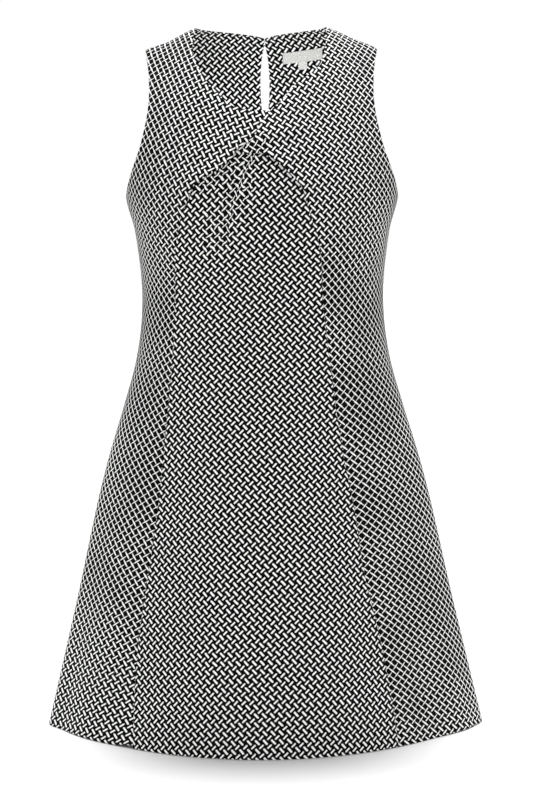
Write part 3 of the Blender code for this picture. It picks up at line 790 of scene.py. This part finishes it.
def back_panel(sign):
    """One back from the side seam to the centre seam and its half of the keyhole."""
    levels = low_levels(UNDERARM, (KEYHOLE_END, BACK_ROWS), (BACK_NOTCH, KEYHOLE_ROWS))
    hole = np.array(KEYHOLE)[::-1]
    half_hole = np.where(levels > KEYHOLE_END, smooth(hole[:, 0], hole[:, 1], levels), 0)
    inner = place(np.stack([BACK_CENTRE + sign * half_hole, levels], axis=-1), BACK)
    outer = outer_edge(ARMHOLE_BACK, BACK_ROWS + KEYHOLE_ROWS, BACK, sign)
    outer, inner = (close_lines(edge, 4.0, 2.5) for edge in (outer, inner))
    columns = lines(BACK_WIDTH, BACK_COLUMNS)
    tip, point = place([SHOULDER_TIP, NECK_POINT], BACK)
    seam_columns = np.searchsorted(columns, 0.5) + 1
    shoulder = tip + (point - tip) * (columns[:seam_columns] / columns[seam_columns - 1])[:, None]
    neck = along(BACK_NECK, len(columns) - seam_columns)[1:]
    to_keyhole = 1 - neck[:, 0] / NECK_POINT[0]
    neck[:, 0] = sign * neck[:, 0] + (BACK_CENTRE + sign * KEYHOLE[0][1]) * to_keyhole
    top = np.concatenate([shoulder * (sign, 1), place(neck, BACK)])
    outer_roll = stretches((SEAM, len(low_levels(UNDERARM)) + 2), (TURNED, BACK_ROWS + KEYHOLE_ROWS + 2))
    inner_roll = stretches((SEAM, len(levels) - KEYHOLE_ROWS + 2), (TURNED, KEYHOLE_ROWS + 2))
    edges = (TURNED, TURNED, outer_roll, inner_roll)
    return outer, inner, columns, BACK, not_raised, edges, top


# Finishes

BLACK = (0.012, 0.012, 0.013)
WHITE_THREAD = ((0.76, 0.76, 0.745, 1), (0.94, 0.94, 0.93, 1))
WHITE_PATCH = (0.82, 0.82, 0.81, 1)
BLACK_THREAD = ((0.0008, 0.0008, 0.0009, 1), (0.0035, 0.0035, 0.0038, 1))


def new_finish(name, colour, roughness, **settings):
    """Starts a finish. The nodes that are added from then on are its own."""
    global tree
    made = bpy.data.materials.new(name)
    made.use_nodes = True
    tree = made.node_tree
    surface = tree.nodes["Principled BSDF"]
    surface.inputs["Base Color"].default_value = (*colour, 1)
    surface.inputs["Roughness"].default_value = roughness
    for key, value in settings.items():
        surface.inputs[key.replace("_", " ")].default_value = value
    made.diffuse_color = (*colour, 1)
    return made, surface


def add(kind, *values, out=0, **options):
    """Adds a node, sets its options, sets or joins its inputs in their order, and gives back an output."""
    node = tree.nodes.new(kind)
    for key, value in options.items():
        setattr(node, key, value)
    for socket, value in zip(node.inputs, values):
        if isinstance(value, bpy.types.NodeSocket):
            tree.links.new(value, socket)
        elif value is not None:
            socket.default_value = value
    return node.outputs[out]


def vector(operation, *values, out=0):
    return add("ShaderNodeVectorMath", *values, operation=operation, out=out)


def number(operation, *values):
    return add("ShaderNodeMath", *values, operation=operation)


def coordinates(spot):
    return add("ShaderNodeSeparateXYZ", spot).node.outputs


def noise(spot, scale, detail=2.0, out=0):
    return add("ShaderNodeTexNoise", spot, None, scale, detail, out=out)


def uneven(spot, scale):
    """A soft random direction, about as often one way as the other."""
    return vector("SUBTRACT", noise(spot, scale, 1.0, out=1), (0.5, 0.5, 0.5))


def blended(share, colour_a, colour_b):
    return add("ShaderNodeMix", share, *[None] * 5, colour_a, colour_b, out=2, data_type="RGBA")


def ranged(value, low, high, to_low=0.0, to_high=1.0):
    return add("ShaderNodeMapRange", value, low, high, to_low, to_high)


def colour_by(surface, colour):
    tree.links.new(colour, surface.inputs["Base Color"])


def stand_out(surface, height, distance):
    """Joins a height, in units of the distance, to the surface as its relief."""
    relief = tree.nodes.new("ShaderNodeBump")
    relief.inputs["Distance"].default_value = distance
    tree.links.new(height, relief.inputs["Height"])
    tree.links.new(relief.outputs[0], surface.inputs["Normal"])


def leaned(spot, degrees, axis):
    """Turns a place back by a lean about the origin."""
    angle = math.radians(-degrees)
    return add("ShaderNodeVectorRotate", spot, None, None, angle, rotation_type=axis)


def dash(spot, drawn, offset, slope, half_length, half_width, corner):
    """1 on one dash of each repeat and 0 round it, with round corners: longer and slimmer where drawn."""
    size = (REPEAT[0] * MM, REPEAT[1] * MM, 1.0)
    cell = vector("DIVIDE", spot, size)
    moved = vector("ADD", cell, (0.5 - offset[0], 0.5 - offset[1], 0.5))
    centred = vector("SUBTRACT", vector("FRACTION", moved), (0.5, 0.5, 0.5))
    local = vector("MULTIPLY", centred, size)
    reach = vector("ABSOLUTE", leaned(local, slope, "Z_AXIS"))
    inner = ((half_length - corner) * MM, (half_width - corner) * MM, 0.0)
    if drawn is not None:
        slimmed = (DRAWN_MIDDLE * DRAWN[1] * MM, DRAWN[1] * MM)
        to_end = ranged(coordinates(reach)[0], *DRAWN_BETWEEN, *slimmed)
        grown = add("ShaderNodeCombineXYZ", DRAWN[0] * MM, to_end)
        inner = vector("ADD", vector("MULTIPLY", grown, drawn), inner)
    beyond = vector("MAXIMUM", vector("SUBTRACT", reach, inner), (0.0, 0.0, 0.0))
    distance = vector("LENGTH", beyond, out=1)
    return ranged(distance, (corner - DASH_BLUR) * MM, (corner + DASH_BLUR) * MM, 1.0, 0.0)


def puckered():
    """How far small puckers disturb the pattern: 1 at the twist and the pleat, and 0 away from them."""
    most = None
    for x, z, half_width, half_length, lean in PUCKERS:
        centred = vector("SUBTRACT", add("ShaderNodeTexCoord", out=3), (x * MM, 0.0, z * MM))
        upright = leaned(centred, lean, "Y_AXIS")
        scaled = vector("MULTIPLY", upright, (1 / (half_width * MM), 0.0, 1 / (half_length * MM)))
        share = ranged(vector("LENGTH", scaled, out=1), PUCKER_FADES, 1.0, 1.0, 0.0)
        most = share if most is None else number("MAXIMUM", most, share)
    return most


def weave(name, netted, at_twist):
    """Black jacquard knit with small white dashes, worked in fine stitches, and in part drawn into a net."""
    sheen = {"Specular_IOR_Level": 0.03, "Sheen_Weight": 0.015, "Sheen_Roughness": 0.45}
    made, surface = new_finish(name, (0.2, 0.2, 0.2), 0.82, **sheen)
    cloth = add("ShaderNodeUVMap", uv_map="cloth")
    wander = uneven(cloth, 90.0)
    spot = vector("ADD", cloth, vector("MULTIPLY", wander, (ROWS_WANDER, ROWS_WANDER, 0.0)))
    drawn = None
    if at_twist:
        pucker = puckered()
        shift = (PUCKER_SHIFT * MM, PUCKER_SHIFT * MM, 0.0)
        shift = vector("MULTIPLY", uneven(cloth, 120.0), shift)
        spot = vector("ADD", spot, vector("SCALE", shift, None, None, pucker))
        drawn = number("MULTIPLY", pucker, PUCKERS_DRAW)
    stitch = (STITCH[0] * MM, STITCH[1] * MM, 1.0)
    stitched = vector("SNAP", spot, stitch)
    if netted:
        loosely = vector("ADD", cloth, vector("MULTIPLY", wander, (NET_WANDERS, NET_WANDERS, 0.0)))
        width_at, height_at, _ = coordinates(loosely)
        above_hem = ranged(height_at, *NET_ABOVE[netted], 1.0)
        below_bust = ranged(height_at, *NET_FADES, 1.0, 0.0)
        to_centre = number("MULTIPLY", width_at, -netted)
        from_neck = number("MAXIMUM", ranged(to_centre, *NET_TO_NECK), below_bust)
        in_patches = ranged(noise(cloth, 9.0, 1.0), 0.3, 0.55, 0.55, 1.0)
        net = number("MULTIPLY", number("MULTIPLY", in_patches, above_hem), from_neck)
        drawn = number("MAXIMUM", drawn, net)
    broad, slim = (dash(stitched, drawn, *sizes) for sizes in DASHES)
    white = number("MAXIMUM", broad, slim)

    turns = vector("MULTIPLY", spot, (math.tau / stitch[0], math.tau / stitch[1], 0.0))
    wale, course = (number("COSINE", turn) for turn in coordinates(turns)[:2])
    loops = number("MULTIPLY", wale, course)

    thread = noise(cloth, 1900.0)
    light = blended(ranged(thread, 0.3, 0.7), *WHITE_THREAD)
    light = blended(ranged(noise(cloth, 14.0), 0.35, 0.65, 0.0, 0.35), light, WHITE_PATCH)
    dark = blended(ranged(thread, 0.3, 0.75), *BLACK_THREAD)
    colour_by(surface, blended(white, dark, light))
    rough = ranged(number("ADD", number("MULTIPLY", thread, 0.6), white), 0.0, 1.6, 0.92, 0.7)
    tree.links.new(rough, surface.inputs["Roughness"])
    height = number("MULTIPLY_ADD", loops, 0.05, number("MULTIPLY", white, 0.22))
    stand_out(surface, number("MULTIPLY_ADD", thread, 0.06, height), MM)
    return made


def shades(colour, low, high):
    return [(*(min(part * share, 1) for part in colour), 1) for share in (low, high)]


def tape_finish(name, colour):
    """Smooth woven tape: fine weft lines, a faint twill and a little unevenness."""
    made, surface = new_finish(name, colour, 0.55, Sheen_Weight=0.15)
    cloth = add("ShaderNodeUVMap", uv_map="cloth")
    turns = vector("MULTIPLY", cloth, (math.tau / (0.5 * MM), math.tau / (0.28 * MM), 0.0))
    along_it, across_it, _ = coordinates(turns)
    warp = number("SINE", number("ADD", along_it, across_it))
    weft = number("SINE", across_it)
    speckle = noise(cloth, 700.0)
    cloudy = noise(cloth, 120.0, 3.0)
    tone = number("MULTIPLY_ADD", warp, 0.12, number("MULTIPLY_ADD", speckle, 3.0, -1.15))
    tone = number("ADD", tone, number("MULTIPLY_ADD", cloudy, 0.5, -0.2))
    colour_by(surface, blended(tone, *shades(colour, 0.72, 1.22)))
    stand_out(surface, number("MULTIPLY_ADD", weft, 0.5, warp), 0.04 * MM)
    return made


def button_finish(name):
    """Black moulded button: slightly glossy, with fine rub marks."""
    made, surface = new_finish(name, BLACK, 0.5, Specular_IOR_Level=0.35)
    spot = add("ShaderNodeTexCoord", out=3)
    stretched = vector("MULTIPLY", spot, (1.0, 1.0, 6.0))
    rubbed = noise(stretched, 900.0, 3.0)
    tree.links.new(ranged(rubbed, 0.35, 0.75, 0.42, 0.6), surface.inputs["Roughness"])
    colour_by(surface, blended(rubbed, (0.009, 0.009, 0.010, 1), (0.024, 0.024, 0.026, 1)))
    stand_out(surface, noise(spot, 2500.0), 0.02 * MM)
    return made


def cord_finish(name, colour):
    """Twisted thread: the plies run slantwise round it, with painted light on their crests and painted shade
    in the grooves between them.
    """
    made, surface = new_finish(name, colour, 0.75, Sheen_Weight=0.3)
    around, far, _ = coordinates(add("ShaderNodeUVMap", uv_map="cloth"))
    round_it = number("MULTIPLY", around, math.tau)
    down_it = number("MULTIPLY", far, math.tau / (1.1 * MM))
    plies = number("SINE", number("MULTIPLY_ADD", round_it, 3.0, down_it))
    hair = noise(add("ShaderNodeTexCoord", out=3), 3000.0)
    # The tone follows the slanting ply stripes: lighter on their crests and darker in the grooves between
    # them, which is painted light and shade. The hair noise over it is random tone.
    tone = number("MULTIPLY_ADD", plies, 0.3, hair)
    colour_by(surface, blended(tone, *shades(colour, 0.6, 1.6)))
    stand_out(surface, number("MULTIPLY_ADD", plies, 1.0, hair), 0.1 * MM)
    return made


# Sheets

left_side = (-1, PRINCESS_LEFT, FOLD_LEFT, NECK_LEFT, raised_left)
right_side = (1, PRINCESS_RIGHT, FOLD_RIGHT, NECK_RIGHT, raised_right)
for panel, node, held, grain, shift, maker, cut in (
    # shift is the pattern's, in millimetres
    ("front_left", "front_side_left", "gathered", 1.5, (1, 2), front_side, left_side),
    ("front_right", "front_side_right", "gathered", 3, (4, 3), front_side, right_side),
    ("front_centre", "front_centre", "gathered", 0, (0, 0), front_centre, ()),
    ("back_left", "back_left", "hung", 8, (2, 5), back_panel, (-1,)),
    ("back_right", "back_right", "hung", -5, (6, 1), back_panel, (1,)),
):
    netted = cut[0] if maker is front_side else 0
    finish = weave(f"{node.replace('_', ' ')} jacquard", netted, maker is not back_panel)
    points, flat, size, area = cloth_sheet(panel, grain, shift, *maker(*cut))
    piece = sheet_piece(f"{panel}_sheet", points, flat, CLOTH, finish)
    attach(piece, "root")
    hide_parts(node)


# Label and size tab


def on_back(x, z, out):
    """Points on the back's middle surface, moved out by a distance."""
    turn, rise = place(np.stack([np.ravel(x), np.ravel(z)], axis=-1), BACK).T
    points = form(turn, rise, BACK) + outward(turn, rise, BACK) * np.reshape(out, (-1, 1))
    return points.reshape(*np.shape(x), 3)


def tape(name, node, slot, left, right, top, height, inside, crown, thickness, colour):
    """A small tape on the inside of the back, a little crowned between its sewn ends."""
    x, share = np.meshgrid(np.linspace(left, right, 49), np.linspace(1, 0, 13))
    z = top + (x - LABEL_LEFT) * LABEL_TILT - share * height
    middle = np.sin(np.pi * (x - left) / (right - left))
    out = -inside - crown * middle * (1 + 0.3 * np.sin(x / 3.1))
    flat = np.stack([x - left, height * (1 - share)], axis=-1)
    finish = tape_finish(f"{node.replace('_', ' ')} woven tape", colour)
    piece = sheet_piece(name, on_back(x, z, out), flat, thickness, finish)
    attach(piece, "root")
    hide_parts(node)


label = (LABEL_LEFT, LABEL_RIGHT, LABEL_TOP, LABEL_HEIGHT, 1.45, 0.25, 0.6)
tab = (TAB_LEFT, TAB_RIGHT, LABEL_TOP - LABEL_HEIGHT + TAB_TUCK, TAB_HEIGHT + TAB_TUCK, 1.0, 0.0, 0.35)
tape("neck_label_tape", "neck_label", "label_tape", *label, (0.65, 0.65, 0.63))
tape("size_tab_tape", "size_tab", "size_tape", *tab, (0.70, 0.70, 0.68))


# Cords and stitches


def across_route(route):
    """Two directions square to a route over the back and to each other, at each of its points."""
    ahead = np.gradient(route, axis=0)
    side = unit(np.cross(ahead, (0.0, 1.0, 0.0)))
    return side, unit(np.cross(side, ahead))


def threads(name, routes, radius, sides, finish):
    """Round threads along some routes, in millimetres, as one piece with closed ends."""
    points, faces, places = [], [], []
    for route in routes:
        side, up = across_route(route)
        far = reached(route) * MM
        first = len(points)
        for at, a, b in zip(route, side, up):
            for angle in np.arange(sides) * math.tau / sides:
                points.append(at + (a * math.cos(angle) + b * math.sin(angle)) * radius)
        for i in range(len(route) - 1):
            for j in range(sides):
                ring, beside = first + i * sides, (j + 1) % sides
                faces.append((ring + j, ring + beside, ring + sides + beside, ring + sides + j))
                low, high = j / sides, (j + 1) / sides
                places += [(low, far[i]), (high, far[i]), (high, far[i + 1]), (low, far[i + 1])]
        for ring in (first, len(points) - sides):
            faces.append(tuple(range(ring, ring + sides)))
            places += [(0.0, 0.0)] * sides
    piece = mesh_piece(name, points, faces, places, finish)
    only(piece)
    mode("EDIT")
    bpy.ops.mesh.select_all(action="SELECT")
    bpy.ops.mesh.normals_make_consistent(inside=False)
    mode("OBJECT")
    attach(piece, "root")
    return piece


def twisted(route):
    """The routes of the plies that turn about a cord's own route."""
    side, up = across_route(route)
    far = reached(route)
    plies = []
    for ply in range(PLIES):
        angle = (far / PLY_PITCH + ply / PLIES)[:, None] * math.tau
        plies.append(route + (side * np.cos(angle) + up * np.sin(angle)) * (LOOP_RADIUS - PLY_RADIUS))
    return plies


black_cord = cord_finish("black twisted cord", BLACK)
bend = np.linspace(0, math.pi, 40)
straight = np.linspace(LOOP_END, BUTTON_PLACE[0], 90)[:-1]
loop_x = np.concatenate([straight, BUTTON_PLACE[0] - LOOP_REACH * np.sin(bend), straight[::-1]])
run = np.ones(len(straight))
loop_z = BUTTON_PLACE[1] + LOOP_REACH * np.concatenate([run, np.cos(bend), -run])
loop_route = on_back(loop_x, loop_z, np.full(len(loop_x), LOOP_OUT))
loop = threads("button_loop_cord", twisted(loop_route), PLY_RADIUS, 8, black_cord)
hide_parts("button_loop")

STITCH_RADIUS = 0.14
over = np.linspace(-1, 1, 9)
binding = [
    on_back(np.full(9, LOOP_END - 0.9 - 0.8 * turn), BUTTON_PLACE[1] + line + over, 2.75 - 1.7 * over**2)
    for line in (LOOP_REACH, -LOOP_REACH)
    for turn in range(4)
]
threads("button_loop_stitches", binding, STITCH_RADIUS, 6, black_cord)

grey_thread = cord_finish("grey sewing thread", (0.5, 0.5, 0.49))
label_stitches = []
for end in (LABEL_LEFT + 1.1, LABEL_RIGHT - 1.1):
    for count in range(5):
        low = LABEL_TOP + (end - LABEL_LEFT) * LABEL_TILT - LABEL_HEIGHT + 1.0 + 2.4 * count
        label_stitches.append(on_back(np.full(9, end), low + 0.85 * (1 + over), -1.62 + 0.5 * over**4))
threads("neck_label_stitches", label_stitches, STITCH_RADIUS, 6, grey_thread)


# Button


def pick_faces(piece, wanted):
    """Goes into edit mode with only the faces selected whose middle is wanted."""
    only(piece)
    bpy.context.tool_settings.mesh_select_mode = (False, False, True)
    mode("EDIT")
    bpy.ops.mesh.select_all(action="DESELECT")
    mode("OBJECT")
    for face in piece.data.polygons:
        face.select = wanted(face)
    mode("EDIT")


only()
button_low = BUTTON_SHANK * MM
button_high = button_low + BUTTON_THICKNESS * MM
bpy.ops.mesh.primitive_cylinder_add(
    vertices=64,
    radius=BUTTON_RADIUS * MM,
    depth=BUTTON_THICKNESS * MM,
    location=(0, 0, (button_low + button_high) / 2),
)
button = bpy.context.object
button.name = "back_button_moulded"
bpy.ops.object.transform_apply(location=True)
pick_faces(button, lambda face: face.center.z > button_high - 1e-5)
bpy.ops.mesh.inset(thickness=BUTTON_RIM * MM)
bpy.ops.mesh.inset(thickness=0.4 * BUTTON_RIM * MM, depth=-BUTTON_DISH * MM)
bpy.ops.mesh.inset(thickness=1.6 * BUTTON_RIM * MM, depth=-0.4 * BUTTON_DISH * MM)
mode("OBJECT")
pick_faces(button, lambda face: face.center.z < button_low + 1e-5)
bpy.ops.mesh.inset(thickness=(BUTTON_RADIUS - BUTTON_SHANK_RADIUS) * MM)
bpy.ops.mesh.extrude_region_move(TRANSFORM_OT_translate={"value": (0, 0, -BUTTON_SHANK * MM)})
bpy.context.tool_settings.mesh_select_mode = (False, True, False)
bpy.ops.mesh.select_all(action="DESELECT")
bpy.ops.mesh.edges_select_sharp(sharpness=math.radians(30))
bpy.ops.mesh.bevel(offset=BUTTON_EDGE * MM, segments=3)
mode("OBJECT")
button_x, button_z = (np.full(2, at) for at in BUTTON_PLACE)
button_seat, button_out = on_back(button_x, button_z, [BUTTON_SEAT, 10.0])
button.location = Vector(button_seat.tolist()) * MM
button.rotation_mode = "QUATERNION"
button.rotation_quaternion = Vector((button_out - button_seat).tolist()).to_track_quat("Z", "Y")
bpy.ops.object.transform_apply(location=True, rotation=True)
bpy.ops.object.shade_smooth_by_angle(angle=math.radians(40))
button.data.materials.append(button_finish("black moulded button"))
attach(button, "root")
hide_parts("back_button")


# Floor, light and camera

FLOOR_LEVEL = -0.8495
FOCAL = 1910  # of the camera, in pixels of the picture
PICTURE_HEIGHT = 800
FILM = 36
only()
bpy.ops.mesh.primitive_circle_add(vertices=96, radius=30, fill_type="NGON", location=(0, 0, FLOOR_LEVEL))
floor = bpy.context.object
floor.name = "floor"
bpy.ops.object.transform_apply(location=True)
floor_finish, _ = new_finish("pale floor", (0.5, 0.5, 0.5), 0.9)
floor.data.materials.append(floor_finish)


def soft_light(name, location, aim, size, power):
    lamp = bpy.data.lights.new(name, "AREA")
    lamp.shape = "DISK"
    lamp.size = size
    lamp.energy = power
    holder = new_object(name, lamp)
    holder.location = location
    holder.visible_camera = False
    holder.rotation_mode = "QUATERNION"
    holder.rotation_quaternion = (Vector(aim) - Vector(location)).to_track_quat("-Z", "Y")


soft_light("front left", (-1.7, -2.9, 0.5), (0, 0, -0.2), 1.6, 9.5)
soft_light("front right", (1.9, -2.8, 0.4), (0, 0, -0.2), 1.6, 8.5)

overhead = bpy.data.lights.new("overhead", "SUN")
overhead.energy = 4.5
overhead.angle = math.radians(14)
new_object("overhead", overhead).rotation_euler = (-math.radians(10.5), 0, 0)

soft_light("inside fill", (0.01, -0.05, -0.165), (0.02, 0.1, -0.03), 0.1, 0.28)

world = bpy.data.worlds.new("studio")
world.use_nodes = True
sky = world.node_tree.nodes["Background"].inputs
sky["Color"].default_value = (1, 1, 1, 1)
sky["Strength"].default_value = 1.0
bpy.context.scene.world = world
bpy.context.scene.view_settings.view_transform = "Standard"

TILT = math.atan(150 / FOCAL)
ROLL = -math.atan(4.5 / 684)
lens = bpy.data.cameras.new("camera")
lens.sensor_fit = "VERTICAL"
lens.sensor_height = FILM
lens.lens = FILM * FOCAL / PICTURE_HEIGHT
camera = new_object("camera", lens)
camera.matrix_world = (
    Matrix.Translation((0.0038, -2.35, -0.261))
    @ Matrix.Rotation(QUARTER - TILT, 4, "X")
    @ Matrix.Rotation(ROLL, 4, "Z")
)
bpy.context.scene.camera = camera
